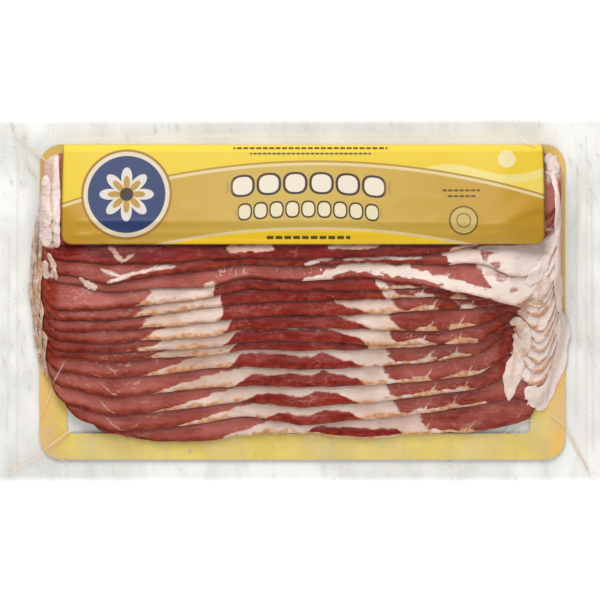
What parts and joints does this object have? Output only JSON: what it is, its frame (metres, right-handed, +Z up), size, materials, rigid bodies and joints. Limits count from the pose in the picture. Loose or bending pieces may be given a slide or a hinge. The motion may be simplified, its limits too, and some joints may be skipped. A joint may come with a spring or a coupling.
{
  "type": "vacuum pack of sliced bacon",
  "caption": "Flat clear vacuum pack of shingled bacon slices on a yellow folded card with a label flap.",
  "frame": {"origin": "middle of the pouch's back face, which lies flat", "axes": "+X along the pack to the right, +Y towards the label, +Z up out of the front"},
  "size_m": [0.29, 0.1736, 0.0249],
  "materials": {
    "film": "clear glossy film",
    "card": "printed, coated",
    "bacon": "moist meat and fat"
  },
  "bodies": {
    "root": {"film_back": "film", "film_front": "film", "card": "card", "slice_01": "bacon", "slice_02": "bacon", "slice_03": "bacon", "slice_04": "bacon", "slice_05": "bacon", "slice_06": "bacon", "slice_07": "bacon", "slice_08": "bacon", "slice_09": "bacon", "slice_10": "bacon", "slice_11": "bacon", "slice_12": "bacon", "slice_13": "bacon", "slice_14": "bacon", "slice_15": "bacon", "slice_16": "bacon", "slice_17": "bacon"}
  },
  "joints": []
}
